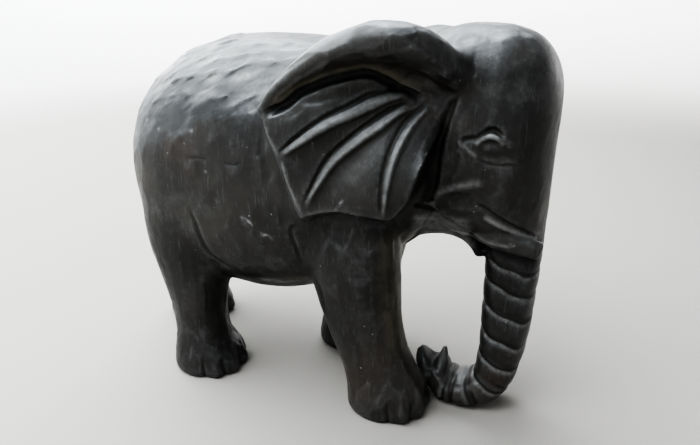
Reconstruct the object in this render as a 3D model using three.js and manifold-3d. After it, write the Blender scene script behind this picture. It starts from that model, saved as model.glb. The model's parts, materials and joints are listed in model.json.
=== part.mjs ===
// A walking elephant carved from one block of black marble. The body, head, ears, tusks, legs and tail are
// one piece of stone, and so is the trunk, whose tip curls back to the right front foot.
// It faces +X, its left side is +Y, and its four flat soles stand on z = 0. The origin is on the ground,
// under the middle of its length and width. Millimetres.
import * as THREE from 'three';
import { mergeVertices } from 'three/addons/utils/BufferGeometryUtils.js';
import Module from 'manifold-3d';

const wasm = await Module();
wasm.setup();

// The driving size. A figure's proportions are shares of its height, so every measure below is written
// at the height at which it was drawn, and real() carries it to the height that the figure has.
const HEIGHT = 400;
const DRAWN_HEIGHT = 400;
const real = (drawn) => (drawn * HEIGHT) / DRAWN_HEIGHT;

// The carving, which can be cut deeper or shallower by itself.
const TRUNK_GROOVE_DEPTH = 3;
const TRUNK_GROOVE_WIDTH = 5.2;
const TOE_CLEFT_DEPTH = 5;
const EAR_VEIN_HEIGHT = 4.5;
const EAR_VEIN_WIDTH = 10;

const RIGHT = -1;
const LEFT = 1;

const smooth = THREE.MathUtils.smoothstep;
const lerp = THREE.MathUtils.lerp;

// How a form's cross-sections stand: square to X, level, or square to the line that the form follows.
const SQUARE_TO_X = () => new THREE.Vector3(1, 0, 0);
const LEVEL = () => new THREE.Vector3(0, 0, 1);
const ALONG = (line, t) => line.getTangent(t).setY(0).normalize();

// A smooth line through one triple of numbers from each station.
function lineThrough(stations, first) {
  const points = stations.map((s) => new THREE.Vector3(s[first], s[first + 1], s[first + 2]));
  return new THREE.CatmullRomCurve3(points, false, 'catmullrom');
}

// One closed form drawn out through stations [x, y, z, half width, half depth, squareness]. It starts as a
// three.js cylinder. Squareness 2 is an ellipse and more is squarer. rows are where along the form its rings
// of vertices lie, from 0 to 1, and relief(t, angle) raises or cuts the surface.
function drawnOut(stations, { sides, steps, rows, facing, relief = () => 0 }) {
  const centres = lineThrough(stations, 0);
  const sections = lineThrough(stations, 3);
  const places = rows ?? Array.from({ length: steps + 1 }, (_, i) => i / steps);
  const form = new THREE.CylinderGeometry(1, 1, 1, sides, places.length - 1);
  const position = form.attributes.position;
  const across = new THREE.Vector3(0, 1, 0);
  for (let i = 0; i < position.count; i++) {
    const t = places[Math.round((position.getY(i) + 0.5) * (places.length - 1))];
    const reach = Math.hypot(position.getX(i), position.getZ(i));
    const angle = Math.atan2(position.getZ(i), position.getX(i));
    const along = facing(centres, t);
    const down = new THREE.Vector3().crossVectors(across, along);
    const { x: halfWidth, y: halfDepth, z: squareness } = sections.getPoint(t);
    const squared = (value) => Math.sign(value) * Math.abs(value) ** (2 / Math.max(squareness, 2));
    const spread = reach * (1 + relief(t, angle) / Math.min(halfWidth, halfDepth));
    const aside = squared(Math.cos(angle)) * halfWidth * spread;
    const below = squared(Math.sin(angle)) * halfDepth * spread;
    const point = centres.getPoint(t).addScaledVector(across, aside).addScaledVector(down, below);
    position.setXYZ(i, real(point.x), real(point.y), real(point.z));
  }
  return form;
}

// A three.js geometry as a solid that booleans can join, with its faces pointing out.
function solid(geometry) {
  const bare = geometry.clone();
  bare.deleteAttribute('normal');
  bare.deleteAttribute('uv');
  const merged = mergeVertices(bare, 1e-4);
  const vertProperties = merged.attributes.position.array;
  const triVerts = new Uint32Array(merged.index.array);
  const made = () => new wasm.Manifold(new wasm.Mesh({ numProp: 3, vertProperties, triVerts }));
  const first = made();
  if (first.volume() > 0) return first;
  for (let i = 0; i < triVerts.length; i += 3) {
    [triVerts[i + 1], triVerts[i + 2]] = [triVerts[i + 2], triVerts[i + 1]];
  }
  return made();
}

// The barrel of the body, from the rump to the neck.
function torso() {
  const stations = [
    [-213, 0, 242, 12, 16, 2.0],
    [-210, 0, 238, 46, 56, 2.2],
    [-198, 0, 233, 72, 82, 2.3],
    [-170, 0, 235, 92, 107, 2.4],
    [-122, 0, 237, 101, 130, 2.5],
    [-62, 0, 236, 104, 138, 2.5],
    [-8, 0, 240, 103, 133, 2.5],
    [42, 0, 252, 98, 120, 2.4],
    [84, 0, 266, 86, 105, 2.3],
    [118, 0, 280, 70, 91, 2.2],
    [150, 0, 290, 52, 62, 2.1],
  ];
  return drawnOut(stations, { sides: 24, steps: 20, facing: SQUARE_TO_X });
}

// The head, from the line of the jaw up to its crown. Its front and sides are nearly flat.
function head() {
  const stations = [
    [184, 0, 190, 22, 34, 2.4],
    [177, 0, 199, 38, 50, 2.5],
    [172, 0, 213, 51, 57, 2.6],
    [169, 0, 238, 59, 60, 2.7],
    [167, 0, 270, 64, 62, 2.7],
    [166, 0, 305, 66, 64, 2.7],
    [165, 0, 338, 63, 65, 2.6],
    [163, 0, 363, 56, 59, 2.5],
    [160, 0, 382, 43, 45, 2.3],
    [160, 0, 390, 18, 19, 2.0],
  ];
  return drawnOut(stations, { sides: 24, steps: 16, facing: LEVEL });
}

// The trunk, which hangs straight down the front of the face and curls back over the ground to the right
// front foot, where its tip turns up. Its rings are sharp grooves, hand-spaced down its length, which slope
// down towards the front.
function trunk() {
  const stations = [
    [199, 0, 240, 42, 28, 2.6],
    [201, 0, 200, 33, 28, 2.8],
    [201, 0, 165, 30, 28, 3.0],
    [200.5, 0, 130, 29, 27, 3.0],
    [200, -1, 96, 28.5, 26, 3.0],
    [198, -4, 62, 28, 24, 2.9],
    [192.5, -9, 33, 28, 21, 2.8],
    [179, -14, 17.5, 28, 17, 2.9],
    [160, -16, 14, 28, 13.5, 2.9],
    [142, -15, 15, 27, 14, 2.7],
    [129, -13, 27, 23, 17, 2.4],
    [126, -12, 37, 15, 18, 2.2],
    [126, -12, 47, 7, 17, 2.0],
  ];
  const line = lineThrough(stations, 0);
  const slope = THREE.MathUtils.degToRad(14);
  const grooves = [74, 99, 124, 156, 180, 204, 230, 254];
  const halfGroove = TRUNK_GROOVE_WIDTH / 2;
  const placeOf = (distance) => line.getUtoTmapping(0, distance);
  const rows = [
    0,
    placeOf(grooves[0] / 2),
    ...grooves.flatMap((at) => [at - halfGroove, at, at + halfGroove, at + 12].map(placeOf)),
    0.84,
    0.9,
    0.95,
    1,
  ];
  const cut = grooves.map(placeOf);
  const relief = (t) => (cut.includes(t) ? -TRUNK_GROOVE_DEPTH : 0);
  const sloped = (centres, t) => {
    const lean = slope * (1 - smooth(t, 0.4, 0.6));
    return ALONG(centres, t).applyAxisAngle(new THREE.Vector3(0, 1, 0), lean);
  };
  return drawnOut(stations, { sides: 20, rows, facing: sloped, relief });
}

// The open end of the trunk: a hollow cut across its tip, which leaves a pointed lip before it and one
// behind.
function nostrils() {
  const hollow = new THREE.CylinderGeometry(real(11), real(6), real(90), 12);
  hollow.scale(1.15, 1, 1);
  hollow.translate(real(127), real(-12), real(48));
  return hollow;
}

// A leg, drawn up from its flat sole into the body. foot and hip are where its middle stands on the ground
// and meets the body. Each row gives height, half width, half depth, how far along from hip to foot, how far
// it is set back from there, and squareness.
function leg({ side, foot, hip, rows }) {
  const stations = rows.map(([z, halfWidth, halfDepth, towardsFoot, setBack, squareness]) => [
    lerp(hip.x, foot.x, towardsFoot) - setBack,
    side * lerp(hip.y, foot.y, towardsFoot),
    z,
    halfWidth,
    halfDepth,
    squareness,
  ]);
  const clefts = 10;
  const cleftTop = 0.3;
  const relief = (t, angle) => {
    const front = smooth(Math.sin(angle), -0.1, 0.5);
    const cleft = 0.5 + 0.5 * Math.cos(clefts * (angle - Math.PI / 2));
    return -TOE_CLEFT_DEPTH * cleft * front * (1 - smooth(t, cleftTop * 0.6, cleftTop));
  };
  return drawnOut(stations, { sides: 2 * clefts, steps: 12, facing: LEVEL, relief });
}

const frontLegRows = [
  [0, 37, 42, 1.0, 0, 2.3],
  [9, 39.5, 45, 1.0, 0, 2.3],
  [24, 37, 43, 0.97, 0, 2.3],
  [44, 33, 39, 0.8, 1, 2.3],
  [76, 32, 39, 0.47, 2, 2.4],
  [112, 35, 42, 0.24, 1, 2.4],
  [150, 39, 46, 0.08, 0, 2.5],
  [192, 41, 46, 0, 0, 2.5],
  [235, 34, 42, 0, 0, 2.3],
  [266, 18, 26, 0, 0, 2.2],
];

const hindLegRows = [
  [0, 38, 41, 1.0, 0, 2.3],
  [9, 40, 43.5, 1.0, 0, 2.3],
  [22, 37, 39, 1.0, 2, 2.3],
  [42, 31, 29, 0.96, 8, 2.3],
  [74, 30, 30, 0.7, 5, 2.3],
  [110, 33, 37, 0.4, 1, 2.4],
  [150, 37, 44, 0.14, 1, 2.4],
  [190, 37, 47, 0, 0, 2.4],
  [232, 30, 44, 0, 0, 2.3],
  [268, 16, 28, 0, 0, 2.2],
];

// The stride: both right legs reach forward and both left legs back.
const legs = [
  { side: RIGHT, foot: { x: 93, y: 59 }, hip: { x: 52, y: 59 }, rows: frontLegRows },
  { side: LEFT, foot: { x: 12, y: 50 }, hip: { x: 30, y: 59 }, rows: frontLegRows },
  { side: RIGHT, foot: { x: -126, y: 61 }, hip: { x: -146, y: 59 }, rows: hindLegRows },
  { side: LEFT, foot: { x: -207, y: 43 }, hip: { x: -152, y: 59 }, rows: hindLegRows },
];

// The fan of the ear, laid flat against the shoulder: rays from its root out to its rim. The rays droop, and
// three of them are raised as veins. The rim runs from the root back under the fold, where the fan is sunk
// in, to the ear's hind tip, and from there down the hind edge and forward along the lower one.
function earLeaf(side) {
  const root = { x: 146, z: 338 };
  const rootSide = 60;
  const rimSide = 109;
  const thickness = 34;
  const sunk = 22;
  const droop = THREE.MathUtils.degToRad(30);
  const underFold = [
    new THREE.Vector2(146, 352),
    new THREE.Vector2(120, 368),
    new THREE.Vector2(88, 374),
    new THREE.Vector2(54, 368),
    new THREE.Vector2(22, 352),
    new THREE.Vector2(-21, 314),
  ];
  const free = [
    new THREE.Vector2(-21, 314),
    new THREE.Vector2(17, 214),
    new THREE.Vector2(36, 224),
    new THREE.Vector2(60, 230),
    new THREE.Vector2(102, 226),
    new THREE.Vector2(118, 247),
  ];
  const covered = new THREE.Path(underFold);
  const open = new THREE.Path(free);
  const hindTip = 0.26;
  const veins = [0.18, 0.42, 0.86];
  const form = new THREE.BoxGeometry(1, 1, 1, 46, 1, 6);
  const position = form.attributes.position;
  for (let i = 0; i < position.count; i++) {
    const around = position.getX(i) + 0.5;
    const out = lerp(0.1, 1, position.getZ(i) + 0.5);
    const along = (around - hindTip) / (1 - hindTip);
    const edge = along < 0 ? covered.getPoint(around / hindTip) : open.getPoint(along);
    const reach = Math.hypot(edge.x - root.x, edge.y - root.z) * out;
    const bend = droop * (1 - out) ** 1.6 * (1 - smooth(along, 0.86, 1)) * smooth(along, -0.1, 0.1);
    const straight = Math.atan2(edge.y - root.z, edge.x - root.x);
    const angle = (straight < 0 ? straight + 2 * Math.PI : straight) - bend;
    const nearest = Math.min(...veins.map((vein) => Math.abs(along - vein))) * open.getLength() * out;
    const ridge = 1 - smooth(nearest, 0, EAR_VEIN_WIDTH / 2);
    const raised = EAR_VEIN_HEIGHT * ridge * smooth(out, 0.1, 0.3) * (1 - smooth(out, 0.9, 1));
    const front = smooth(along, 0.6, 1);
    const sink = sunk * (1 - smooth(along, -0.25, 0.1)) * smooth(out, 0.1, 0.5);
    const face = lerp(rootSide, rimSide - 11 * front, smooth(out, 0.02, 0.85)) + raised - sink;
    const y = side * (position.getY(i) > 0 ? face : face - thickness);
    const x = root.x + reach * Math.cos(angle);
    const z = root.z + reach * Math.sin(angle);
    position.setXYZ(i, real(x), real(y), real(z));
  }
  return form;
}

// The thick upper edge of the ear, folded over the leaf like an awning. drop is how much lower its middle
// lies.
function earFold(side, drop) {
  const rows = [
    [-23, 102, 315, 4, 3, 2.0],
    [-6, 100, 334, 9, 7, 2.0],
    [22, 96, 356, 15, 10, 2.1],
    [54, 91, 373, 20, 14.5, 2.2],
    [90, 84, 381, 24, 17, 2.2],
    [122, 74, 373, 23, 17, 2.2],
    [143, 63, 353, 15, 14, 2.1],
    [152, 57, 338, 6, 7, 2.0],
  ];
  const sag = (i) => drop * Math.sin((Math.PI * i) / (rows.length - 1));
  const stations = rows.map(([x, y, z, ...section], i) => [x, side * y, z - sag(i), ...section]);
  return drawnOut(stations, { sides: 14, steps: 18, facing: ALONG });
}

// A short tusk, carved as a wedge against the side of the trunk and cut off square. shorter is how much is
// missing from its tip.
function tusk(side, shorter) {
  const stations = [
    [162, side * 36, 208, 7, 8, 2.6],
    [184 - shorter * 0.3, side * 40, 203, 9, 11, 2.8],
    [207 - shorter * 0.7, side * 38, 197, 9, 10, 2.8],
    [229 - shorter, side * 34, 191, 7, 8.5, 2.8],
  ];
  return drawnOut(stations, { sides: 12, steps: 5, facing: ALONG });
}

// The pointed lower lip, which hangs behind the trunk.
function lowerLip() {
  const stations = [
    [84, 0, 203, 40, 30, 2.2],
    [112, 0, 207, 40, 24, 2.3],
    [138, 0, 203, 34, 18, 2.3],
    [156, 0, 191, 23, 13, 2.2],
    [165, 0, 175, 12, 9, 2.0],
    [167, 0, 160, 4, 4, 2.0],
  ];
  return drawnOut(stations, { sides: 18, steps: 11, facing: ALONG });
}

// The eye: an almond ball under an arched lid.
function eye(side) {
  const ball = new THREE.SphereGeometry(1, 12, 8);
  ball.scale(real(14), real(6.5), real(7));
  ball.translate(real(180), side * real(61), real(294));
  const lid = drawnOut(
    [
      [158, side * 61, 295, 2, 1.5, 2.0],
      [168, side * 64, 301, 4, 2.6, 2.0],
      [180, side * 65, 303.5, 4.5, 3, 2.0],
      [192, side * 63, 301, 4, 2.6, 2.0],
      [201, side * 59, 294, 2, 1.5, 2.0],
    ],
    { sides: 8, steps: 8, facing: ALONG },
  );
  return [ball, lid];
}

// The tail, carved against the rump, with a tuft at its end.
function tail() {
  const stations = [
    [-186, 0, 316, 7, 7, 2.0],
    [-203, 0, 299, 9, 8, 2.0],
    [-214, 0, 258, 8, 6, 2.0],
    [-215, 0, 210, 6.5, 6, 2.0],
    [-210, 0, 182, 9, 7, 2.0],
    [-204, 0, 156, 8, 6, 2.0],
    [-199, 0, 140, 3, 3, 2.0],
  ];
  return drawnOut(stations, { sides: 10, steps: 13, facing: ALONG });
}

const forms = [
  torso(),
  head(),
  trunk(),
  ...legs.map(leg),
  earLeaf(RIGHT),
  earLeaf(LEFT),
  earFold(RIGHT, 0),
  earFold(LEFT, 19),
  tusk(RIGHT, 0),
  tusk(LEFT, 9),
  lowerLip(),
  ...eye(RIGHT),
  ...eye(LEFT),
  tail(),
];

const joined = forms.map(solid).reduce((whole, form) => whole.add(form));
const carved = joined.subtract(solid(nostrils()));
const { vertProperties, triVerts } = carved.getMesh();
const block = new THREE.BufferGeometry();
block.setAttribute('position', new THREE.BufferAttribute(new Float32Array(vertProperties), 3));
block.setIndex(new THREE.BufferAttribute(new Uint32Array(triVerts), 1));
block.computeBoundingBox();
const base = block.boundingBox.getCenter(new THREE.Vector3()).setZ(block.boundingBox.min.z);
block.translate(-base.x, -base.y, -base.z);
block.computeVertexNormals();

const blackMarble = new THREE.MeshStandardMaterial({ color: 0x2b2c2b, roughness: 0.42, metalness: 0 });
const elephant = new THREE.Mesh(block, blackMarble);
elephant.name = 'elephant';

const sculpture = new THREE.Group();
sculpture.add(elephant);

export default sculpture;
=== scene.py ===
# A marble elephant: the carver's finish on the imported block, its black marble, and a plain pale studio.
import json
import math

import bpy
import numpy as np
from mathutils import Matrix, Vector
from mathutils.bvhtree import BVHTree
from mathutils.kdtree import KDTree

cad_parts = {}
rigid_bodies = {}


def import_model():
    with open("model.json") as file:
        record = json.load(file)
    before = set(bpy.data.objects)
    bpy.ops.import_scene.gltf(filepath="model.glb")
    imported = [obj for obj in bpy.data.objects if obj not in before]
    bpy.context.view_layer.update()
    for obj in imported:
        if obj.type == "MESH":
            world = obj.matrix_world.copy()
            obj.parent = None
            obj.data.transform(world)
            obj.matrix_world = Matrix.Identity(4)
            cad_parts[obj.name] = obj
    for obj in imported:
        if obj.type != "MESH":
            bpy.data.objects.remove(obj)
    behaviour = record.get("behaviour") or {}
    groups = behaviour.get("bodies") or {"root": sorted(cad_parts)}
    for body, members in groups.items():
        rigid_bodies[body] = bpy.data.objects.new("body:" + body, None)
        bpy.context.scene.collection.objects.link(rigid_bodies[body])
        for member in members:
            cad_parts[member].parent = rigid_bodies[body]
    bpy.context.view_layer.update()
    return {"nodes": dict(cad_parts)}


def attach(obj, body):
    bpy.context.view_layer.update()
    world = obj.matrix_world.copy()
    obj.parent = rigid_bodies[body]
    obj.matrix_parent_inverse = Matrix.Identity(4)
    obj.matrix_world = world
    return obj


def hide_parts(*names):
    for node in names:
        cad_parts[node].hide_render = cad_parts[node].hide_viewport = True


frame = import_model()

# Lengths below are in millimetres unless their name says otherwise.
MM = 0.001
VOXEL = 1.7
MERGE_WITHIN = 0.01
MOST_TRIANGLES = 192000
TINY = 1e-9  # keeps a length from dividing by nothing

RIGHT = -1
LEFT = 1
BOTH = (RIGHT, LEFT)
OUTSIDE = 300  # further from the middle than any stone, where rays start

# The way that the flat chisel ran over the back, forwards and up.
CHISEL_WAY = (0.85, 0.25, 0.42)


def ramp(value, low, high):
    """0 up to low and 1 from high on, with a soft rise between."""
    t = np.clip((value - low) / (high - low), 0.0, 1.0)
    return t * t * (3.0 - 2.0 * t)


# The block.


def only(piece):
    """Selects one piece and nothing else."""
    bpy.ops.object.select_all(action="DESELECT")
    piece.select_set(True)
    bpy.context.view_layer.objects.active = piece


def applied(piece, kind, **settings):
    """Gives the piece a modifier and applies it."""
    only(piece)
    modifier = piece.modifiers.new(kind.lower(), kind)
    for name, value in settings.items():
        setattr(modifier, name, value)
    bpy.ops.object.modifier_apply(modifier=modifier.name)


def roughed_out():
    """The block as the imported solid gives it, on an even skin of small faces that the tools can move."""
    mesh = frame["nodes"]["elephant"].data.copy()
    piece = bpy.data.objects.new("elephant_carving", mesh)
    bpy.context.scene.collection.objects.link(piece)
    mesh.materials.clear()
    only(piece)
    bpy.ops.object.mode_set(mode="EDIT")
    bpy.ops.mesh.select_all(action="SELECT")
    bpy.ops.mesh.remove_doubles(threshold=MERGE_WITHIN * MM)
    bpy.ops.mesh.normals_make_consistent(inside=False)
    bpy.ops.object.mode_set(mode="OBJECT")
    applied(piece, "REMESH", mode="VOXEL", voxel_size=VOXEL * MM, adaptivity=0.0)
    return piece


# The skin of the block.

SPREAD_STEP = 0.6  # how far each round takes a value towards its neighbours' mean


class Skin:
    """The piece as plain arrays: where each vertex is, which way it faces, and its neighbours."""

    def __init__(self, piece):
        self.piece = piece
        mesh = piece.data
        self.count = len(mesh.vertices)
        flat = np.empty(len(mesh.edges) * 2, dtype=np.int32)
        mesh.edges.foreach_get("vertices", flat)
        pairs = flat.reshape(-1, 2)
        start = np.concatenate([pairs[:, 0], pairs[:, 1]])
        end = np.concatenate([pairs[:, 1], pairs[:, 0]])
        order = np.argsort(start, kind="stable")
        self.neighbour = end[order]
        counts = np.bincount(start, minlength=self.count)
        self.first = np.concatenate([[0], np.cumsum(counts)[:-1]])
        self.valence = counts[:, None]
        self.read()

    def read(self):
        mesh = self.piece.data
        flat = np.empty(self.count * 3)
        mesh.vertices.foreach_get("co", flat)
        self.at = flat.reshape(-1, 3) / MM
        facing = np.empty(self.count * 3)
        mesh.vertex_normals.foreach_get("vector", facing)
        self.facing = facing.reshape(-1, 3)

    def write(self):
        self.piece.data.vertices.foreach_set("co", (self.at * MM).ravel())
        self.piece.data.update()
        self.read()

    def spread(self, values, rounds, share=1.0):
        """Values evened out over the skin in so many rounds. share says how much each vertex takes part."""
        columns = values.reshape(self.count, -1)
        blend = SPREAD_STEP * np.broadcast_to(share, (self.count,))[:, None]
        for _ in range(rounds):
            mean = np.add.reduceat(columns[self.neighbour], self.first, axis=0) / self.valence
            columns = columns + blend * (mean - columns)
        return columns.reshape(values.shape)

    def tree(self):
        corners = [tuple(face.vertices) for face in self.piece.data.polygons]
        return BVHTree.FromPolygons([tuple(point) for point in self.at], corners)


# Lines and outlines drawn on the side view, as (x, z), and laid on the stone from that side.

END_SLACK = 2.0  # how far past the end of a line a vertex may lie


def smooth_line(points):
    """A curve through the drawn points, with about one point to a millimetre."""
    knots = np.array(points, dtype=float)
    ends = np.vstack([2 * knots[0] - knots[1], knots, 2 * knots[-1] - knots[-2]])
    line = []
    for i in range(len(knots) - 1):
        a, b, c, d = ends[i : i + 4]
        count = max(2, int(np.linalg.norm(c - b)))
        for t in np.linspace(0, 1, count, endpoint=False):
            bent = (2 * a - 5 * b + 4 * c - d) * t**2 + (3 * b - a - 3 * c + d) * t**3
            line.append(0.5 * (2 * b + (c - a) * t + bent))
    line.append(knots[-1])
    return np.array(line)


def laid_on(tree, points, side):
    """Where a drawn line falls on the stone, seen square on from one side."""
    found = []
    for x, z in smooth_line(points):
        hit = tree.ray_cast(Vector((x, side * OUTSIDE, z)), Vector((0, -side, 0)))[0]
        if hit is not None:
            found.append(np.array(hit))
    return np.array(found)


def depth_inside(x, z, outline):
    """How far each (x, z) lies inside a closed outline. Outside it the number is negative."""
    points = np.stack([x, z], axis=1)
    corners = np.array(outline, dtype=float)
    nearest = np.full(len(points), np.inf)
    inside = np.zeros(len(points), dtype=bool)
    for (ax, az), (bx, bz) in zip(corners, np.roll(corners, -1, axis=0)):
        edge = np.array([bx - ax, bz - az])
        offset = points - (ax, az)
        t = np.clip(offset @ edge / (edge @ edge), 0, 1)
        nearest = np.minimum(nearest, np.linalg.norm(offset - t[:, None] * edge, axis=1))
        if az != bz:
            crossing = (az > points[:, 1]) != (bz > points[:, 1])
            inside ^= crossing & (points[:, 0] < (bx - ax) * (points[:, 1] - az) / (bz - az) + ax)
    return np.where(inside, nearest, -nearest)


def beside(skin, path, reach):
    """The vertices near a path: which they are, how far along it (0 to 1), and how far to its left (+) or
    right (-) as it is drawn on the side view, which is its upper side where it is drawn towards the head."""
    low = path.min(axis=0) - reach
    high = path.max(axis=0) + reach
    boxed = np.flatnonzero(((skin.at > low) & (skin.at < high)).all(axis=1))
    gaps = skin.at[boxed][:, None, :] - path[None, :, :]
    distance = np.linalg.norm(gaps, axis=2)
    nearest = distance.argmin(axis=1)
    rows = np.arange(len(boxed))
    tangent = np.gradient(path, axis=0)
    tangent /= np.linalg.norm(tangent, axis=1)[:, None] + TINY
    gap = gaps[rows, nearest]
    run = tangent[nearest]
    beyond = (gap * run).sum(axis=1)
    left = gap[:, 2] * run[:, 0] - gap[:, 0] * run[:, 2]
    across = np.sqrt(np.maximum((gap**2).sum(axis=1) - beyond**2, 0)) * np.sign(left)
    keep = (distance[rows, nearest] < reach) & (np.abs(beyond) < END_SLACK)
    return boxed[keep], (nearest / (len(path) - 1))[keep], across[keep]


# Cuts. Each takes the distance s from its line, plus on the upper side, and gives the height there.


def gouge(width, depth):
    return lambda s: -depth * np.clip(1 - (2 * s / width) ** 2, 0, 1)


def ridge(width, height):
    return lambda s: height * np.exp(-((2 * s / width) ** 2))


def step_down(rise, fall, wide):
    """A sharp edge: stone above the line stands proud and stone below it is cut back."""
    def profile(s):
        above = rise * np.exp(-np.maximum(s, 0) / wide)
        below = -fall * np.exp(np.minimum(s, 0) / wide)
        return below + (above - below) * ramp(s, -0.9, 0.9)
    return profile


def vein(width, height):
    """A leaf rib: a dark cut along its upper edge, then a broad face out to a crest, then down to the ear."""
    def profile(s):
        u = s / width
        wall = -0.9 * ramp(u, 0.28, 0.46) * (1 - ramp(u, 0.5, 0.85))
        face = ramp(u, -0.75, -0.42) * (1 - ramp(u, -0.42, 0.42))
        return height * (face + wall)
    return profile


class Carver:
    """Cuts along drawn lines, and keeps where each cut leaves painted highlight, in part wear, painted shade,
    dust or chips on the stone.
    """

    def __init__(self, skin):
        self.skin = skin
        # light holds painted highlight, in part wear on crests; dark holds painted shade.
        self.light = np.zeros(skin.count)
        self.dark = np.zeros(skin.count)
        self.dust = np.zeros(skin.count)
        self.chip = np.zeros(skin.count)
        self.tree = skin.tree()

    def settle(self):
        """Takes the new shape over, so that the next lines are laid on it."""
        self.skin.write()
        self.tree = self.skin.tree()

    def cut(self, points, profile, reach, sides=BOTH, ends=0.12, swell=None, inward=False,
            light=None, dark=None, dust=None, chip=None):
        """ends is the share of the line over which the cut runs out, swell its width along the line, and
        inward cuts square to the side view. A mark is (its middle, its half width, its strength)."""
        for side in sides:
            path = laid_on(self.tree, points, side)
            which, along, across = beside(self.skin, path, reach)
            strength = np.ones(len(along))
            if ends:
                strength = ramp(along, 0, ends) * (1 - ramp(along, 1 - ends, 1))
            if swell is not None:
                across = across / np.interp(along, *swell)
            way = self.skin.facing[which]
            if inward:
                way = np.broadcast_to([0.0, side, 0.0], way.shape)
            if profile is not None:
                self.skin.at[which] += way * (profile(across) * strength)[:, None]
            marks = ((self.light, light), (self.dark, dark), (self.dust, dust), (self.chip, chip))
            for mark, band in marks:
                if band is not None:
                    middle, half, amount = band
                    value = amount * np.exp(-(((across - middle) / half) ** 2)) * strength
                    mark[which] = np.maximum(mark[which], value)


# Where things are on the side view.

EAR_OUTLINE = [
    (-16, 322), (8, 276), (28, 221), (60, 232), (108, 226), (128, 250),
    (139, 285), (147, 318), (158, 340), (152, 362), (120, 388), (85, 400), (40, 388), (0, 350),
]
LEAF = [
    (2, 292), (12, 276), (24, 246), (34, 232), (60, 240), (100, 234), (120, 262),
    (128, 296), (138, 322), (120, 332), (88, 338), (56, 334), (28, 318),
]
BEHIND_HEAD = [
    (124, 226), (131, 250), (133, 280), (139, 306), (150, 330),
    (160, 336), (154, 312), (148, 285), (145, 256), (140, 234),
]
EYE = (190, 293)
TIP_Y = -12


def regions(skin):
    """How far each vertex belongs to each part of the figure, from 0 to 1."""
    x, y, z = skin.at.T
    wide = np.abs(y)
    ear = ramp(depth_inside(x, z, EAR_OUTLINE), -1, 5) * ramp(wide, 50, 62)
    leaf = ramp(depth_inside(x, z, LEAF), 0, 5) * ramp(wide, 55, 65)
    rim = np.exp(-((depth_inside(x, z, EAR_OUTLINE) / 7.0) ** 2)) * ramp(wide, 50, 62) * (z < 345)
    trunk = ramp(x, 148, 162) * (1 - ramp(z, 196, 214))
    tusks = ramp(x, 166, 176) * ramp(z, 180, 186) * (1 - ramp(z, 226, 236)) * ramp(wide, 26, 31)
    lip = ramp(x, 84, 100) * (1 - ramp(x, 172, 180)) * ramp(z, 160, 165) * (1 - ramp(z, 222, 236))
    eye = 1 - ramp(np.hypot(x - EYE[0], (z - EYE[1]) * 1.3), 20, 30)
    eye *= ramp(wide, 35, 45) * ramp(x, 150, 160)
    tip = ramp(x, 112, 118) * (1 - ramp(x, 156, 162)) * (1 - ramp(z, 62, 70)) * (wide < 45)
    feet = 1 - ramp(z, 26, 50)
    tail = (1 - ramp(x, -196, -186)) * (1 - ramp(wide, 14, 22))
    head = ramp(x, 122, 140) * ramp(z, 205, 225) * (1 - ear)
    legs = (1 - ramp(z, 140, 195)) * (1 - trunk)
    body = np.clip(1 - head - legs - ear - trunk, 0, 1)
    return {"ear": ear, "leaf": leaf, "rim": rim, "trunk": trunk, "tusks": tusks, "lip": lip, "eye": eye,
            "tip": tip, "feet": feet, "tail": tail, "head": head, "legs": legs, "body": body}


# The line on the side view, as (x, z), above which the painted sheen lies.
SHEEN_EDGE = (
    (-245, 222), (-173, 242), (-139, 259), (-121, 265), (-97, 276), (-81, 293),
    (-64, 306), (-46, 304), (-37, 297), (-14, 300), (60, 308), (150, 360),
    (161, 366), (180, 373), (192, 371), (202, 378), (214, 387), (245, 396),
)
SHEEN_FADE = 34


def painted_sheen(skin, where):
    """Painted sheen: a lighter grey painted on the upward-facing stone of the upper back, the head's top and
    the fold of the ear, where the light overhead reflects.
    """
    x, _, z = skin.at.T
    edge = np.interp(x, *zip(*SHEEN_EDGE))
    above = np.clip(0.5 + (z - edge) / SHEEN_FADE, 0, 1)
    above *= 1 - where["ear"]
    above *= 1 - ramp(skin.facing[:, 0], 0.25, 0.6)
    above *= 0.45 + 0.55 * ramp(skin.facing[:, 2], 0.0, 0.4)
    return above + where["ear"] * 0.8 * ramp(skin.facing[:, 2], 0.35, 0.75)


# How much of its shape each part keeps when the block is evened out.
KEPT_BY = (
    ("rim", 0.93), ("trunk", 0.80), ("tusks", 0.93), ("lip", 0.90),
    ("eye", 0.95), ("tip", 0.90), ("feet", 0.85), ("tail", 0.92),
)
EVEN_ROUNDS = 90


def evened(skin, where):
    """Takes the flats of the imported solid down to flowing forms, but not the edges that the carver kept."""
    x, _, z = skin.at.T
    share = 1 - 0.75 * where["ear"] * (1 - where["leaf"])
    for part, kept in KEPT_BY:
        share *= 1 - kept * where[part]
    share *= 1 - 0.25 * where["head"] * (1 - ramp(x, 190, 205)) * (1 - ramp(z, 310, 330))
    skin.at = skin.spread(skin.at, EVEN_ROUNDS, share)
    skin.at[:, 2] = np.maximum(skin.at[:, 2], 0)
    skin.write()


# The facets that the chisel leaves.

LEAST_SHARE = 0.02  # stone that shows a facet less than this is left alone
SAMPLE_STEP = 12  # every twelfth vertex is enough to even out the facets' places
JOINT_SHARE = 0.16  # the share of a facet's width over which it runs into the next
LEAST_LEAN = 0.45  # a facet is followed no further than this on stone that turns away from it
SAME_WAY = 0.6  # facets that face more differently than this meet in a hard edge
MOST_MOVE = 1.6


def nearest_cells(points, centres, count):
    """For each point, the nearest of the centres, and how far each of them is."""
    tree = KDTree(len(centres))
    for i, centre in enumerate(centres):
        tree.insert(centre, i)
    tree.balance()
    found = np.empty((len(points), count), dtype=np.int32)
    gaps = np.empty((len(points), count))
    for row, point in enumerate(points):
        for column, (_, index, gap) in enumerate(tree.find_n(point, count)):
            found[row, column] = index
            gaps[row, column] = gap
    return found, gaps


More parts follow.
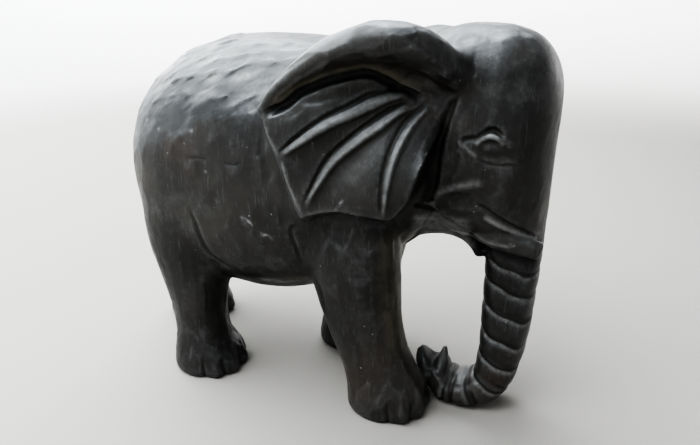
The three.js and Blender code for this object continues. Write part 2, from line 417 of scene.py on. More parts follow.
def facets(skin, share, along, length, width, tilt, seed):
    """How far each vertex moves to lie on the facets, which are flats of a length and width laid along a
    direction, and a number from 0 to 1 that is the same all over one facet."""
    rng = np.random.default_rng(seed)
    which = np.flatnonzero(share > LEAST_SHARE)
    at = skin.at[which]
    facing = skin.facing[which]
    axis = np.array(along, dtype=float)
    axis /= np.linalg.norm(axis)
    squeezed = at - np.outer(at @ axis, axis) * (1 - width / length)
    mixed = rng.permutation(len(which))
    cells = np.floor(squeezed[mixed] / width + rng.uniform(0, 1, 3)).astype(np.int64)
    _, first = np.unique(cells, axis=0, return_index=True)
    centres = squeezed[mixed[first]]
    sample = rng.permutation(len(which))[::SAMPLE_STEP]
    for _ in range(2):
        owner = nearest_cells(squeezed[sample], centres, 1)[0][:, 0]
        size = np.bincount(owner, minlength=len(centres))
        sums = [np.bincount(owner, weights=column, minlength=len(centres)) for column in squeezed[sample].T]
        moved = np.stack(sums, axis=1) / np.maximum(size, 1)[:, None]
        centres = moved[size > 3]
    found, gaps = nearest_cells(squeezed, centres, 3)
    owner = found[:, 0]
    size = np.maximum(np.bincount(owner, minlength=len(centres)), 1)[:, None]

    def mean_of(values):
        sums = [np.bincount(owner, weights=column, minlength=len(centres)) for column in values.T]
        return np.stack(sums, axis=1) / size

    middle = mean_of(at)
    normal = mean_of(facing) + rng.normal(0, math.tan(math.radians(tilt)), (len(centres), 3))
    normal /= np.linalg.norm(normal, axis=1)[:, None] + TINY

    def height_on(cell):
        lean = np.maximum((facing * normal[cell]).sum(axis=1), LEAST_LEAN)
        return ((middle[cell] - at) * normal[cell]).sum(axis=1) / lean

    own = height_on(owner)
    other = height_on(found[:, 1])
    agree = (normal[owner] * normal[found[:, 1]]).sum(axis=1) > SAME_WAY
    mine = 0.5 + 0.5 * ramp(gaps[:, 1] - gaps[:, 0], 0, JOINT_SHARE * width)
    height = np.where(agree, mine * own + (1 - mine) * other, own)
    moved = np.zeros(skin.count)
    moved[which] = np.clip(height, -MOST_MOVE, MOST_MOVE) * share[which]
    tone = np.zeros(skin.count)
    tone[which] = rng.random(len(centres))[owner]
    return moved, tone


def chiselled(skin, where):
    """Lays the facets on each part of the figure, and gives the tone of each facet."""
    x, _, z = skin.at.T
    kept = 1 - np.clip(where["eye"] + where["tusks"] + where["rim"] * 0.7 + where["tail"], 0, 1)
    kept *= 1 - 0.9 * where["trunk"]
    kept *= 1 - 0.85 * where["leaf"]
    kept *= 1 - 0.6 * (1 - ramp(z, 2, 20))
    kept *= 1 - 0.7 * ramp(x, 195, 215) * ramp(z, 240, 260)
    kept *= 1 - 0.5 * where["head"] * ramp(z, 325, 345)
    top = ramp(skin.facing[:, 2], 0.1, 0.5)
    # Where, how fully, along what way, how long, how wide, how many degrees askew, and the seed.
    zones = (
        (where["body"] * top, 0.75, CHISEL_WAY, 66, 13, 1.0, 3),
        (where["body"] * (1 - top), 0.40, (0.25, 0, 1), 62, 22, 0.8, 5),
        (where["legs"], 0.38, (0.05, 0, 1), 70, 18, 0.8, 8),
        (where["head"], 0.50, (0.3, 0.2, 0.9), 46, 24, 1.0, 13),
        (where["ear"], 0.45, (1, 0, 0.25), 46, 20, 1.0, 21),
    )
    moved = np.zeros(skin.count)
    tone = np.full(skin.count, 0.5)
    for zone, share, along, length, width, tilt, seed in zones:
        lift, own_tone = facets(skin, zone * share * kept, along, length, width, tilt, seed)
        moved += lift
        tone += zone * (own_tone - 0.5) * (own_tone > 0)
    skin.at += skin.facing * moved[:, None]
    skin.at[:, 2] = np.maximum(skin.at[:, 2], 0)
    skin.write()
    return np.clip(tone, 0, 1)


# The carving, drawn on the side view of the figure.


def carve_ears(carver):
    """The leaf's ribs, the recess behind the ear, and the edges of the leaf, with painted highlight on the
    ribs' faces and along the leaf's edges, and painted shade in the ribs' cuts, the recess and under the
    leaf's edges.
    """
    ribs = (
        ([(9, 278), (28, 293), (52, 310), (74, 321), (89, 329), (107, 335), (119, 332)], 11, 3.4),
        ([(33, 232), (46, 257), (58, 277), (74, 293), (93, 308), (107, 319), (122, 327)], 10, 3.2),
        ([(106, 228), (107, 248), (108, 266), (110, 281), (114, 296), (121, 311), (136, 328)], 9, 2.6),
    )
    for line, width, height in ribs:
        carver.cut(line, vein(width, height), 13, swell=((0, 0.3, 0.75, 1), (0.45, 0.85, 1.1, 0.6)),
                   light=(-0.20 * width, 0.24 * width, 0.50), dark=(0.5 * width, 0.2 * width, 0.9))
    skin = carver.skin
    x, y, z = skin.at.T
    recess = ramp(depth_inside(x, z, BEHIND_HEAD), -1, 5) * (1 - ramp(np.abs(y), 80, 92)) * (np.abs(y) > 30)
    skin.at[:, 1] -= np.sign(y) * 4.5 * recess
    # Painted shade in the recess behind the ear.
    carver.dark = np.maximum(carver.dark, 0.9 * recess)
    carver.cut([(9, 275), (13, 257), (21, 238), (29, 222)], gouge(2.6, 0.9), 4,
               light=(1.6, 1.4, 0.8))
    carver.cut([(-14, 316), (-8, 304), (0, 290), (9, 275)], None, 4, light=(1.0, 1.4, 0.6))
    carver.cut([(28, 220), (49, 228), (64, 231), (79, 230), (93, 226), (108, 223)],
               step_down(0.8, 2.6, 4.0), 10, dark=(-1.8, 1.4, 0.8), light=(1.0, 0.9, 0.5))
    carver.cut([(-8, 300), (0, 285), (6, 268), (12, 248), (22, 226)], step_down(0.3, 1.4, 3.5), 9,
               dark=(2.2, 1.6, 0.4))
    carver.settle()


def carve_folds(carver):
    """The undercut beneath the ear's fold with painted shade in it, and the dust along the fold's lower edge.
    """
    lip = [(-8, 318), (9, 325), (16, 330), (25, 338), (36, 343), (50, 349), (72, 355), (85, 356),
           (98, 350), (108, 343), (121, 338), (130, 333)]

    def undercut(s):
        return -6.0 * (1 - ramp(s, -1.2, 0.6)) * ramp(s, -9.5, -5)

    carver.cut(lip, undercut, 12, inward=True, dark=(-3.6, 3.0, 1.0), ends=0.08)
    carver.cut(lip, None, 12, dust=(3.5, 3.6, 1.0), ends=0.15)
    carver.settle()


def carve_eyes(carver):
    """The brow, the upper and lower lids, and the folds at the corners, with painted shade under the brow, in
    the lower lid's crease and in a corner fold, and painted highlight on the lids and the other folds.
    """
    carver.cut([(163, 297), (170, 299), (177, 301), (182, 305), (189, 309), (195, 307), (201, 302)],
               gouge(5.5, 3.0), 5, dark=(0, 2.2, 1.0))
    carver.cut([(176, 293), (182, 300), (189, 303.5), (196, 301.5), (201, 295)], ridge(5, 2.0), 6,
               light=(0.4, 1.8, 1.0))
    carver.cut([(179, 283), (188, 279), (198, 278), (208, 279), (214, 276)], gouge(3.4, 1.4), 4, ends=0.3,
               dark=(0, 1.5, 0.6), light=(2.2, 1.0, 0.6))
    carver.cut([(160, 296), (169, 290), (179, 283)], ridge(3, 1.0), 4, light=(0, 1.3, 0.9))
    carver.cut([(164, 294), (172, 287)], gouge(2.4, 0.8), 3, dark=(0, 1.2, 0.6))
    carver.cut([(203, 300), (205, 294)], ridge(3, 0.8), 3, light=(0, 1.3, 0.6))
    carver.settle()


def carve_cheeks(carver):
    """The cheek and jaw, the lower lip, and the tusks, with painted highlight on the cheek's folds, the lip
    and its underside and the tusks' ridges, and painted shade in the jaw's groove, along the tusks and under
    them.
    """
    skin = carver.skin
    x, y, z = skin.at.T
    wide = np.abs(y)
    # Painted light on the downward-facing underside of the lower lip.
    lit_under_lip = ramp(x, 118, 128) * (1 - ramp(x, 168, 176)) * ramp(z, 166, 172) * (1 - ramp(z, 216, 224))
    lit_under_lip *= ramp(wide, 22, 30) * (1 - ramp(wide, 56, 62)) * ramp(-skin.facing[:, 2], 0.05, 0.4)
    carver.light = np.maximum(carver.light, 0.75 * lit_under_lip)
    carver.cut([(137, 236), (147, 245), (160, 252), (175, 257), (186, 260)], ridge(9, 1.4), 10,
               light=(0.5, 3.0, 0.55))
    carver.cut([(137, 236), (141, 225), (153, 220)], ridge(7, 1.2), 8, light=(0, 2.4, 0.5))
    carver.cut([(150, 236), (164, 240), (180, 240)], gouge(18, 1.6), 9, ends=0.3)
    carver.cut([(121, 232), (133, 227), (147, 216), (162, 209), (176, 201)], gouge(6, 3.4), 6,
               dark=(0, 2.4, 0.9))
    carver.cut([(122, 221), (130, 216), (143, 210), (157, 203), (166, 191), (172, 174)], ridge(7, 0.8), 12,
               light=(-2.5, 4.2, 1.0), ends=0.06)
    carver.cut([(180, 240), (195, 230), (214, 217), (228, 206), (238, 200)], gouge(4, 2.0), 5,
               dark=(0, 1.8, 0.8))
    carver.cut([(186, 226), (200, 217), (212, 211), (226, 205), (238, 200)], ridge(4, 1.2), 6,
               light=(1.5, 3.0, 1.0), ends=0.06)
    carver.cut([(176, 205), (188, 199), (200, 197.5), (214, 196)], ridge(3, 0.6), 4, light=(0, 1.4, 1.0))
    carver.cut([(209, 200), (213, 199), (218, 198.5)], gouge(3, 0.5), 3, sides=(RIGHT,), ends=0.4,
               chip=(0, 1.2, 0.9))
    carver.cut([(182, 192), (196, 187), (212, 183), (238, 181)], step_down(0.4, 6.0, 6.0), 16, inward=True,
               dark=(-4.5, 4.5, 1.0))
    carver.settle()


RINGS = (
    ((184, 173), (237, 157)), ((184, 151), (234, 132)), ((184, 122), (232, 105)), ((184, 92), (230, 76)),
    ((184, 65), (226, 49)), ((182, 40), (214, 22)), ((176, 32), (188, 2)), ((158, 30), (154, 0)),
)


def carve_rings(carver):
    """Each ring of the trunk is cut in sharply from above and runs out below in a slope that takes light,
    with a painted highlight on the slope and painted shade above the cut.
    """
    skin = carver.skin
    x, y, z = skin.at.T
    on_trunk = ramp(x, 146, 152) * (1 - ramp(z, 186, 200)) * (np.abs(y) < 44)
    move = np.zeros(skin.count)
    for (ax, az), (bx, bz) in RINGS:
        run = np.array([bx - ax, bz - az], dtype=float)
        length = np.linalg.norm(run)
        run /= length
        along = (x - ax) * run[0] + (z - az) * run[1]
        across = (z - az) * run[0] - (x - ax) * run[1]
        within = ramp(along, -8, 0) * (1 - ramp(along, length, length + 14)) * on_trunk
        wave = across + 0.7 * np.sin(along * 0.23 + az) + 0.5 * np.sin(y * 0.2 + ax)
        wall = ramp(-wave, -0.8, 0.4)
        slope = 1 - ramp(-wave, 0.4, 5.2)
        move -= 1.9 * wall * slope * within
        # Painted highlight along the slope below each cut and painted shade just above it.
        carver.light = np.maximum(carver.light, np.exp(-(((wave + 2.2) / 1.4) ** 2)) * within)
        carver.dark = np.maximum(carver.dark, np.exp(-(((wave - 1.0) / 2.4) ** 2)) * within)
    skin.at += skin.facing * move[:, None]
    carver.settle()


def carve_tip(carver):
    """The open end of the trunk: a pointed lip before and behind, and a wide hollow between them, with a
    painted highlight on the front lip and painted shade in the hollow.
    """
    skin = carver.skin
    x, y, z = skin.at.T
    off = y - TIP_Y
    at_tip = ramp(z, 22, 34) * (z < 70) * (np.abs(off) < 30) * ramp(x, 112, 118) * (1 - ramp(x, 160, 172))
    across = np.exp(-((off / 11.0) ** 2))
    rear_lip = np.exp(-(((x - 128) / 6.0) ** 2)) * across
    front_lip = np.exp(-(((x - 152) / 9.0) ** 2)) * across
    hollow = np.exp(-(((x - 139) / 6.0) ** 2)) * (1 - ramp(np.abs(off), 14, 24))
    skin.at[:, 2] += at_tip * (3.0 * rear_lip + 9.0 * front_lip - 5.0 * hollow * ramp(z, 30, 42))
    # Painted highlight on the front lip and painted shade in the hollow.
    carver.light = np.maximum(carver.light, 0.7 * at_tip * front_lip * ramp(z, 34, 42))
    carver.dark = np.maximum(carver.dark, 0.7 * at_tip * hollow)
    carver.settle()


FEET = ((102.4, -59), (21.4, 50), (-116.6, -61), (-197.6, 43))
TOE_STEP = 36  # degrees from one cleft to the next
TOE_CLEFT_DEPTH = 1.8


def carve_toes(carver):
    """Five clefts across the front of each foot, each leaning a little and darkened with painted shade."""
    skin = carver.skin
    x, y, z = skin.at.T
    for foot_x, foot_y in FEET:
        reach = np.hypot(x - foot_x, y - foot_y)
        turn = np.arctan2(y - foot_y, x - foot_x)
        near = (reach < 60) & (z < 34) & (np.sign(y) == np.sign(foot_y))
        for toe in range(-2, 3):
            lean = 0.06 * math.sin(5 * toe + foot_x)
            off = (turn - math.radians(TOE_STEP * toe) - lean * z / 20) * reach
            cleft = np.exp(-((off / 1.7) ** 2)) * (1 - ramp(z, 14, 27)) * near
            skin.at -= skin.facing * (TOE_CLEFT_DEPTH * cleft)[:, None] * [1, 1, 0]
            # Painted shade in the cleft.
            carver.dark = np.maximum(carver.dark, 0.9 * cleft)
    skin.at[:, 2] = np.maximum(skin.at[:, 2], 0)
    carver.settle()


STROKES = (
    [(-158, 316), (-135, 328), (-116, 336)],
    [(-112, 343), (-98, 350), (-76, 356), (-50, 362)],
    [(-60, 336), (-45, 341), (-22, 348)],
    [(-100, 315), (-82, 323), (-65, 329)],
    [(-26, 323), (-14, 333), (-6, 339)],
    [(-31, 312), (-22, 319)],
    [(-88, 334), (-74, 339), (-64, 343)],
    [(152, 375), (160, 378), (167, 380)],
    [(174, 379), (182, 382), (192, 385)],
    [(199, 383), (208, 384)],
)


def carve_strokes(carver):
    """Single strokes of the flat chisel on the right side of the back and head, each with a painted highlight
    along it.
    """
    for stroke in STROKES:
        carver.cut(stroke, gouge(12, 0.6), 7, sides=(RIGHT,), ends=0.4, light=(0, 4.2, 0.85))
    carver.settle()


def patch(skin, centre, radii):
    """A soft round patch, 1 at its centre."""
    return np.exp(-(((skin.at - centre) / radii) ** 2).sum(axis=1))


# Small chips on the right flank, as x, z and half their length.
CHIPS = ((-64, 222, 3.6), (-92, 290, 3.0), (-154, 292, 3.4), (-134, 286, 2.6), (-76, 251, 2.2))


def carve_creases(carver):
    """The dusty fronts of the front legs, painted shade on the fronts of the hind legs, the broken belly, the
    creases with painted shade in them, and the cracks and chips.
    """
    skin = carver.skin
    x, _, z = skin.at.T
    front = ramp(skin.facing[:, 0], 0.55, 0.85) * ramp(z, 60, 90) * (1 - ramp(z, 195, 210)) * (x < 135)
    carver.dust = np.maximum(carver.dust, 0.75 * front * (x > 60))
    # Painted shade on the fronts of the hind legs, which face away from the lights.
    carver.dark = np.maximum(carver.dark, 0.7 * front * (x < -40))
    broken_belly = patch(skin, (-24, -70, 127), (15, 14, 7))
    skin.at -= skin.facing * (1.6 * broken_belly)[:, None]
    carver.light = np.maximum(carver.light, 0.9 * broken_belly)
    carver.dust = np.maximum(carver.dust, patch(skin, (7, -72, 137), (13, 12, 5)))
    carver.cut([(-102, 214), (-97, 197), (-93, 171), (-88, 158), (-76, 146), (-64, 134)], gouge(7, 1.8), 8,
               ends=0.3, dark=(0, 2.4, 0.5))
    carver.cut([(26, 211), (13, 203), (16, 180), (17, 162)], gouge(6, 1.5), 8, ends=0.25, dark=(0, 2.2, 0.4))
    carver.cut([(-98, 262), (-85, 264), (-72, 264)], gouge(2.4, 0.8), 3, sides=(RIGHT,), dark=(0, 1.5, 0.8))
    carver.cut([(-55, 264), (-46, 262), (-36, 264)], gouge(2.6, 1.0), 3, sides=(RIGHT,), dark=(0, 1.5, 0.8))
    carver.cut([(-41, 212), (-37, 208), (-33, 207), (-26, 200)], gouge(3.4, 0.6), 4, sides=(RIGHT,),
               ends=0.45, swell=((0, 0.3, 0.45, 0.7, 1), (0.6, 1.3, 0.7, 1.2, 0.4)), chip=(0, 1.5, 1.0))
    carver.cut([(-23, 198), (-17, 194), (-12, 193), (-6, 188)], gouge(3.0, 0.6), 4, sides=(RIGHT,), ends=0.45,
               swell=((0, 0.4, 0.7, 1), (0.4, 1.2, 0.7, 0.9)), chip=(0, 1.3, 1.0))
    carver.cut([(62, 232), (66, 238), (72, 246)], gouge(2.4, 0.4), 3, sides=(RIGHT,), ends=0.4,
               chip=(0, 1.0, 0.6))
    carver.cut([(-34, 128), (-19, 123), (-6, 127), (4, 134)], gouge(11, 1.6), 7, sides=(RIGHT,), ends=0.25,
               light=(0, 4.5, 1.0))
    for at_x, at_z, half in CHIPS:
        line = [(at_x - half, at_z), (at_x, at_z + 0.4), (at_x + half, at_z)]
        carver.cut(line, gouge(2 * half, 0.4), half + 1, ends=0.45, sides=(RIGHT,), chip=(0, half * 0.6, 0.5))
    carver.settle()


NEAR_ROUNDS = 4
WIDE_ROUNDS = 30


def marks(carver, where, tone):
    """Hollows gather dust and get painted shade, and edges are worn, so both are read off the finished
    carving.
    """
    skin = carver.skin
    near = ((skin.spread(skin.at, NEAR_ROUNDS) - skin.at) * skin.facing).sum(axis=1)
    wide = ((skin.spread(skin.at, WIDE_ROUNDS) - skin.at) * skin.facing).sum(axis=1)
    # Painted shade, darker the deeper the hollow.
    hollow = np.clip(near * 3.0, 0, 1) * 0.6 + np.clip(wide * 0.55, 0, 1) * 0.42
    hollow *= 1 - 0.6 * where["ear"] * (1 - where["leaf"])
    shown = 1 - np.clip(0.85 * carver.light + 0.7 * carver.dust, 0, 0.9)
    edge = np.clip(-near * 4.0, 0, 1)
    return {
        "light": skin.spread(carver.light, 1),
        "chip": carver.chip,
        "hollow": skin.spread(np.clip((hollow + carver.dark) * shown, 0, 1), 1),
        "edge": skin.spread(edge, 1),
        "dust": skin.spread(np.clip(carver.dust + 0.25 * ramp(hollow, 0.3, 0.9), 0, 1), 1),
        "sheen": painted_sheen(skin, where),
        "facet": tone,
    }


def thinned(skin, values):
    """Fewer faces where the stone is flat. The marks are carried over from the nearest old vertices."""
    piece = skin.piece
    tree = KDTree(skin.count)
    for i, point in enumerate(skin.at):
        tree.insert(point, i)
    tree.balance()
    triangles = sum(len(face.vertices) - 2 for face in piece.data.polygons)
    applied(piece, "DECIMATE", ratio=min(1.0, MOST_TRIANGLES / triangles))
    mesh = piece.data
    nearest = [tree.find(vertex.co / MM)[1] for vertex in mesh.vertices]
    for name, value in values.items():
        attribute = mesh.attributes.new(name, "FLOAT", "POINT")
        attribute.data.foreach_set("value", value[nearest].astype(np.float32))
    only(piece)
    bpy.ops.object.shade_smooth()


def without_crumbs(piece):
    """Leaves out any crumb of the skin that isn't joined to the figure."""
    only(piece)
    bpy.ops.object.mode_set(mode="EDIT")
    bpy.ops.mesh.select_all(action="DESELECT")
    bpy.ops.object.mode_set(mode="OBJECT")
    top = max(piece.data.vertices, key=lambda vertex: vertex.co.z)
    top.select = True
    bpy.ops.object.mode_set(mode="EDIT")
    bpy.ops.mesh.select_linked()
    bpy.ops.mesh.select_all(action="INVERT")
    bpy.ops.mesh.delete(type="VERT")
    bpy.ops.object.mode_set(mode="OBJECT")


# The marble. Its colours run from the ground up, as the layers of black_marble() do.

BLACK = (0.0090, 0.0086, 0.0080, 1)
CHARCOAL = (0.029, 0.0268, 0.0232, 1)
BROWN = (0.031, 0.021, 0.016, 1)
HAZE_GREY = (0.066, 0.067, 0.065, 1)
STREAK_GREY = (0.088, 0.088, 0.084, 1)
SCRATCH_GREY = (0.13, 0.135, 0.14, 1)
SPECK_GREY = (0.16, 0.165, 0.165, 1)
# The grey of the painted sheen on the upward-facing stone.
SHEEN_GREY = (0.029, 0.031, 0.032, 1)
# The lighter streaks of painted glint along the chisel strokes, which are in part bruises of the chisel,
# inside the painted sheen.
STROKE_GLINT_GREY = (0.105, 0.110, 0.114, 1)
# The grey of the painted highlights along the cuts, which are in part wear on crests.
HIGHLIGHT_AND_WEAR_GREY = (0.19, 0.19, 0.184, 1)
CHIP_WHITE = (0.34, 0.345, 0.35, 1)
WORN_GREY = (0.10, 0.104, 0.104, 1)
# The near-black of the painted shade in hollows, cuts and creases.
HOLLOW_BLACK = (0.006, 0.0065, 0.0065, 1)
OLIVE_DUST = (0.088, 0.078, 0.050, 1)

# Sizes on the stone, in metres.
STROKE_SIZE = (0.058, 0.0100, 0.0100)
BUMP_HEIGHT = 0.0004


class Graph:
    """A short way to add shader nodes and join them."""

    def __init__(self, name):
        self.material = bpy.data.materials.new(name)
        self.material.use_nodes = True
        self.tree = self.material.node_tree
        self.shader = self.tree.nodes["Principled BSDF"]
        self.place = self.node("ShaderNodeTexCoord").outputs["Object"]

    def node(self, kind, **settings):
        made = self.tree.nodes.new(kind)
        for name, value in settings.items():
            setattr(made, name, value)
        return made

    def join(self, value, socket):
        if isinstance(value, bpy.types.NodeSocket):
            self.tree.links.new(value, socket)
        else:
            socket.default_value = value

    def stretched(self, scale, turn):
        """The place on the stone, turned, and counted in so many steps to the metre along each axis."""
        mapping = self.node("ShaderNodeMapping")
        self.join(self.place, mapping.inputs["Vector"])
        mapping.inputs["Scale"].default_value = scale
        mapping.inputs["Rotation"].default_value = turn
        return mapping.outputs["Vector"]

    def laid_along(self, direction, sizes):
        """The place on the stone, counted along a direction and across it in steps of the given sizes."""
        mapping = self.node("ShaderNodeMapping", vector_type="TEXTURE")
        self.join(self.place, mapping.inputs["Vector"])
        mapping.inputs["Rotation"].default_value = Vector(direction).to_track_quat("X", "Z").to_euler()
        mapping.inputs["Scale"].default_value = sizes
        return mapping.outputs["Vector"]

    def noise(self, scale, detail, roughness=0.55, place=None):
        noise = self.node("ShaderNodeTexNoise")
        self.join(self.place if place is None else place, noise.inputs["Vector"])
        noise.inputs["Scale"].default_value = scale
        noise.inputs["Detail"].default_value = detail
        noise.inputs["Roughness"].default_value = roughness
        return noise.outputs["Fac"]

    def span(self, value, low, high, to_low=0.0, to_high=1.0):
        """A soft rise from to_low to to_high while the value goes from low to high."""
        node = self.node("ShaderNodeMapRange", interpolation_type="SMOOTHSTEP")
        self.join(value, node.inputs["Value"])
        for name, number in (("From Min", low), ("From Max", high), ("To Min", to_low), ("To Max", to_high)):
            node.inputs[name].default_value = number
        return node.outputs["Result"]

    def math(self, operation, first, second, clamp=False):
        node = self.node("ShaderNodeMath", operation=operation, use_clamp=clamp)
        self.join(first, node.inputs[0])
        self.join(second, node.inputs[1])
        return node.outputs["Value"]

    def mark(self, name):
        """One of the marks that the carving left on the vertices."""
        return self.node("ShaderNodeAttribute", attribute_name=name).outputs["Fac"]

    def mix(self, share, first, second):
        node = self.node("ShaderNodeMix", data_type="RGBA")
        self.join(share, node.inputs[0])
        self.join(first, node.inputs[6])
        self.join(second, node.inputs[7])
        return node.outputs[2]


def black_marble():
    g = Graph("black_marble")
    mottle = g.span(g.noise(9.0, 6.0, 0.6), 0.35, 0.68)
    colour = g.mix(mottle, BLACK, CHARCOAL)
    brown = g.span(g.noise(7.0, 5.0, 0.6), 0.54, 0.66, 0.0, 0.6)
    colour = g.mix(brown, colour, BROWN)
    haze = g.span(g.noise(26.0, 8.0, 0.7), 0.50, 0.74)
    colour = g.mix(g.math("MULTIPLY", haze, 0.6), colour, HAZE_GREY)
    grain = g.noise(1.0, 5.0, 0.6, g.stretched((420, 420, 45), (0.15, 0.1, 0)))
    streak = g.span(grain, 0.56, 0.74)
    colour = g.mix(g.math("MULTIPLY", streak, 0.45), colour, STREAK_GREY)
    scratches = g.span(g.noise(1.0, 2.0, 0.5, g.stretched((60, 60, 900), (0.5, 0.9, 0.2))), 0.74, 0.80)
    patches = g.span(g.noise(14.0, 3.0), 0.5, 0.62)
    colour = g.mix(g.math("MULTIPLY", scratches, patches), colour, SCRATCH_GREY)
    specks = g.node("ShaderNodeTexVoronoi")
    g.join(g.place, specks.inputs["Vector"])
    specks.inputs["Scale"].default_value = 90.0
    speck = g.span(specks.outputs["Distance"], 0.05, 0.11, 1.0, 0.0)
    speck = g.math("MULTIPLY", speck, g.span(g.noise(40.0, 1.0), 0.58, 0.66))
    colour = g.mix(speck, colour, SPECK_GREY)
    broken = g.span(g.noise(160.0, 4.0, 0.7), 0.25, 0.75)
    # Painted sheen: a ragged lighter grey over the upward-facing stone, standing in for the light overhead
    # reflected there.
    ragged = g.math("ADD", g.mark("sheen"), g.math("MULTIPLY", g.noise(45.0, 6.0, 0.65), 0.7))
    sheen = g.span(ragged, 0.70, 1.06)
    sheen_patches = g.math("MULTIPLY", sheen, g.span(g.noise(30.0, 8.0, 0.7), 0.35, 0.70, 0.55, 1.0))
    colour = g.mix(sheen_patches, colour, SHEEN_GREY)
    # Painted glints: lighter streaks along the chisel's way, in part bruises of the chisel, shown only inside
    # the painted sheen.
    stroke = g.noise(1.0, 3.0, 0.55, g.laid_along(CHISEL_WAY, STROKE_SIZE))
    stroke = g.math("ADD", stroke, g.math("MULTIPLY", g.mark("facet"), 0.16))
    stroke = g.math("MULTIPLY", g.span(stroke, 0.54, 0.88), sheen)
    stroke = g.math("MULTIPLY", stroke, g.span(broken, 0.0, 0.8, 0.5, 0.9))
    colour = g.mix(stroke, colour, STROKE_GLINT_GREY)
    # Painted highlight along the cuts, in part wear on crests.
    highlight_and_wear = g.math("MULTIPLY", g.mark("light"), g.span(broken, 0.0, 0.8, 0.45, 1.0))
    colour = g.mix(g.math("MULTIPLY", highlight_and_wear, 0.9), colour, HIGHLIGHT_AND_WEAR_GREY)
    chipped = g.math("MULTIPLY", g.mark("chip"), g.span(broken, 0.1, 0.7, 0.15, 1.0))
    colour = g.mix(chipped, colour, CHIP_WHITE)
    worn = g.math("MULTIPLY", g.mark("edge"), broken)
    colour = g.mix(g.math("MULTIPLY", worn, 0.6), colour, WORN_GREY)
    # Painted shade in hollows, cuts and creases.
    shade = g.math("MULTIPLY", g.mark("hollow"), 0.85)
    colour = g.mix(shade, colour, HOLLOW_BLACK)
    dusty = g.math("MULTIPLY", g.mark("dust"), g.span(g.noise(60.0, 5.0, 0.7), 0.3, 0.65, 0.2, 1.0))
    colour = g.mix(g.math("MULTIPLY", dusty, 0.85), colour, OLIVE_DUST)
    g.join(colour, g.shader.inputs["Base Color"])
    g.shader.inputs["Specular IOR Level"].default_value = 0.42
    rough = g.span(g.noise(34.0, 6.0, 0.65), 0.3, 0.72, 0.36, 0.54)
    rough = g.math("SUBTRACT", rough, g.math("MULTIPLY", g.mark("facet"), 0.10))
    rough = g.math("ADD", rough, g.math("MULTIPLY", g.mark("hollow"), 0.25), clamp=True)
    g.join(rough, g.shader.inputs["Roughness"])
    bump = g.node("ShaderNodeBump")
    bump.inputs["Strength"].default_value = 0.5
    bump.inputs["Distance"].default_value = BUMP_HEIGHT
    relief = g.math("ADD", g.math("MULTIPLY", grain, 0.8), g.noise(220.0, 5.0, 0.65))
    g.join(relief, bump.inputs["Height"])
    g.join(bump.outputs["Normal"], g.shader.inputs["Normal"])
    return g.material


# The studio, in metres.

FLOOR_WIDTH = 9.6
FLOOR_SQUARES = 96
RIM_STARTS = 2.0
RIM_ENDS = 4.6
RIM_HEIGHT = 2.4
NEAR_FLOOR = (0.255, 0.240, 0.222, 1)
FAR_FLOOR = (0.70, 0.69, 0.68, 1)
RIM_GLOW = (0.95, 0.975, 1.0, 1)
RIM_GLOW_STRENGTH = 0.25
WORLD_COLOUR = (0.90, 0.95, 1.0, 1)
WORLD_LOW = 0.10
WORLD_HIGH = 0.40
SKY = (0.90, 0.955, 1.0)
WHITE = (1, 1, 1)


def pale_floor():
    """Pale all over, and paler and softly lit of itself towards the rim, where little light reaches it."""
    g = Graph("pale_floor")
    reach = g.node("ShaderNodeVectorMath", operation="LENGTH")
    g.join(g.place, reach.inputs[0])
    rim = g.span(reach.outputs["Value"], 1.2, 3.8)
    g.join(g.mix(rim, NEAR_FLOOR, FAR_FLOOR), g.shader.inputs["Base Color"])
    g.shader.inputs["Emission Color"].default_value = RIM_GLOW
    g.join(g.math("MULTIPLY", rim, RIM_GLOW_STRENGTH), g.shader.inputs["Emission Strength"])
    g.shader.inputs["Roughness"].default_value = 0.95
    g.shader.inputs["Specular IOR Level"].default_value = 0.1
    return g.material


def studio_floor():
    """A plain pale floor that turns up softly at its rim, far from the figure."""
    bpy.ops.object.select_all(action="DESELECT")
    bpy.ops.mesh.primitive_grid_add(
        size=FLOOR_WIDTH, x_subdivisions=FLOOR_SQUARES, y_subdivisions=FLOOR_SQUARES, location=(0, 0, 0)
    )
    floor = bpy.context.active_object
    floor.name = "studio_floor"
    for vertex in floor.data.vertices:
        vertex.co.z = RIM_HEIGHT * float(ramp(vertex.co.xy.length, RIM_STARTS, RIM_ENDS))
    bpy.ops.object.shade_smooth()
    floor.data.materials.append(pale_floor())


def soft_light(name, place, aim, size, brightness, colour, spread=math.pi):
    """A wide panel of light that the camera doesn't see."""
    data = bpy.data.lights.new(name, "AREA")
    data.shape = "RECTANGLE"
    data.size, data.size_y = size
    data.energy = math.pi * size[0] * size[1] * brightness
    data.color = colour
    data.spread = spread
    light = bpy.data.objects.new(name, data)
    light.location = place
    light.rotation_euler = (Vector(aim) - Vector(place)).to_track_quat("-Z", "Y").to_euler()
    light.visible_camera = False
    bpy.context.scene.collection.objects.link(light)


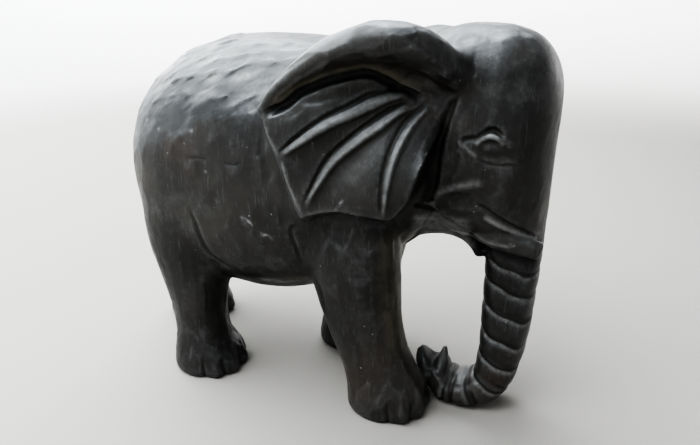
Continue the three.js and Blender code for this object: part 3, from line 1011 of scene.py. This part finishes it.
def studio():
    """The floor, a world that is lighter overhead, and three lights: ceiling, window and backdrop."""
    studio_floor()
    world = bpy.data.worlds.new("studio")
    bpy.context.scene.world = world
    world.use_nodes = True
    nodes = world.node_tree.nodes
    links = world.node_tree.links
    direction = nodes.new("ShaderNodeTexCoord").outputs["Generated"]
    split = nodes.new("ShaderNodeSeparateXYZ")
    links.new(direction, split.inputs["Vector"])
    height = nodes.new("ShaderNodeMapRange")
    height.inputs["From Min"].default_value = 0.0
    height.inputs["From Max"].default_value = 0.9
    height.inputs["To Min"].default_value = WORLD_LOW
    height.inputs["To Max"].default_value = WORLD_HIGH
    links.new(split.outputs["Z"], height.inputs["Value"])
    links.new(height.outputs["Result"], nodes["Background"].inputs["Strength"])
    nodes["Background"].inputs["Color"].default_value = WORLD_COLOUR
    soft_light("ceiling", (-1.2, 0.2, 1.7), (-1.2, 0.2, 0.0), (2.8, 3.6), 8.4, SKY)
    soft_light("window", (-2.4, 1.2, 0.9), (0, 0, 0.3), (3.0, 1.8), 2.2, SKY)
    narrowed = math.radians(110)
    soft_light("backdrop_light", (0.4, 1.0, 1.5), (0.2, 3.6, 0.3), (4.0, 0.5), 9, WHITE, narrowed)
    bpy.context.scene.view_settings.look = "AgX - Very High Contrast"


# The camera that the photograph was taken with, as solved from the feet and the outline.
PHOTO_WIDTH = 700  # pixels
FOCAL_LENGTH = 650  # pixels
SENSOR_MM = 36.0
CAMERA_PLACE = (0.2793, -0.6088, 0.4419)
CAMERA_TILT = math.radians(68.0)
CAMERA_TURN = math.radians(21.95)


def photograph_camera():
    data = bpy.data.cameras.new("photograph")
    data.sensor_width = SENSOR_MM
    data.lens = FOCAL_LENGTH / PHOTO_WIDTH * SENSOR_MM
    camera = bpy.data.objects.new("photograph", data)
    camera.location = CAMERA_PLACE
    camera.rotation_euler = (CAMERA_TILT, 0.0, CAMERA_TURN)
    bpy.context.scene.collection.objects.link(camera)
    bpy.context.scene.camera = camera


def carved():
    """The whole carving: the block, its facets, every cut in turn, and the marks that colour it."""
    skin = Skin(roughed_out())
    where = regions(skin)
    evened(skin, where)
    tone = chiselled(skin, where)
    carver = Carver(skin)
    carve_folds(carver)
    carve_ears(carver)
    carve_eyes(carver)
    carve_cheeks(carver)
    carve_rings(carver)
    carve_tip(carver)
    carve_toes(carver)
    carve_creases(carver)
    carve_strokes(carver)
    thinned(skin, marks(carver, where, tone))
    without_crumbs(skin.piece)
    return skin.piece


elephant = carved()
elephant.data.materials.append(black_marble())
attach(elephant, "root")
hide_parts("elephant")
studio()
photograph_camera()
